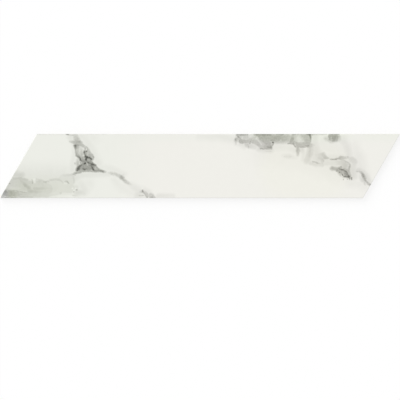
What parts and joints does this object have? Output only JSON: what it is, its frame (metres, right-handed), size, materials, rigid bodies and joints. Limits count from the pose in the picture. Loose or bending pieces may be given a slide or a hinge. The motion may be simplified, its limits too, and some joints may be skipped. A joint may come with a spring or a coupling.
{
  "type": "chevron wall tile",
  "caption": "Long parallelogram porcelain tile with slanted ends, bevelled face rim, polished marble-look glaze and waffle back, laid point to point with its mirror image.",
  "frame": {"origin": "middle of the parallelogram outline, in the plane of the back's ribs on which the tile lies", "axes": "+X along the long edges, +Y across them towards the edge whose sharp corner is at +X, +Z out of the glazed face"},
  "size_m": [0.595, 0.0952, 0.0095],
  "materials": {
    "glazed_porcelain": "gloss"
  },
  "bodies": {
    "root": {"tile": "glazed_porcelain"}
  },
  "joints": []
}
